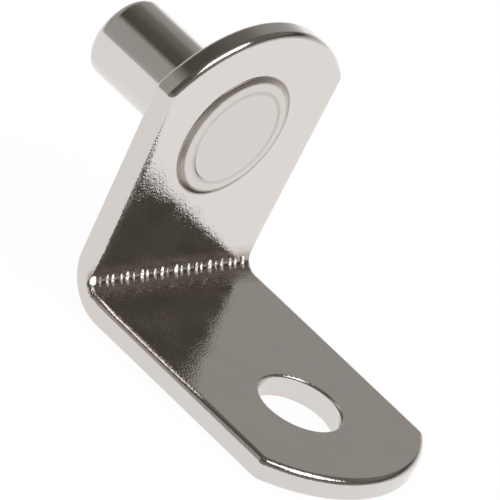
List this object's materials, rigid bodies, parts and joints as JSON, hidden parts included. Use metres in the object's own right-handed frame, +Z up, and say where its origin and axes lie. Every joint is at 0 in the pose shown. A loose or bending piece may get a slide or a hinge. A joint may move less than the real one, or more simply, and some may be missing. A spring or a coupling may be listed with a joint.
{
  "type": "shelf support",
  "caption": "Plug-in shelf support: a bent angle plate with a riveted pin for a drilled side panel and a screw hole under the shelf.",
  "frame": {"origin": "where the pin's axis crosses the plate's back face, the face that bears on the side panel", "axes": "+Y along the pin into the side panel, +Z up, X across the width; the arm under the shelf runs to -Y"},
  "size_m": [0.014, 0.028, 0.0176],
  "materials": {
    "plate_nickel": "bright nickel plating over stamped steel, slightly pebbled",
    "pin_nickel": "bright nickel plating over turned steel"
  },
  "bodies": {
    "root": {"angle_plate": "plate_nickel", "pin": "pin_nickel"}
  },
  "joints": []
}
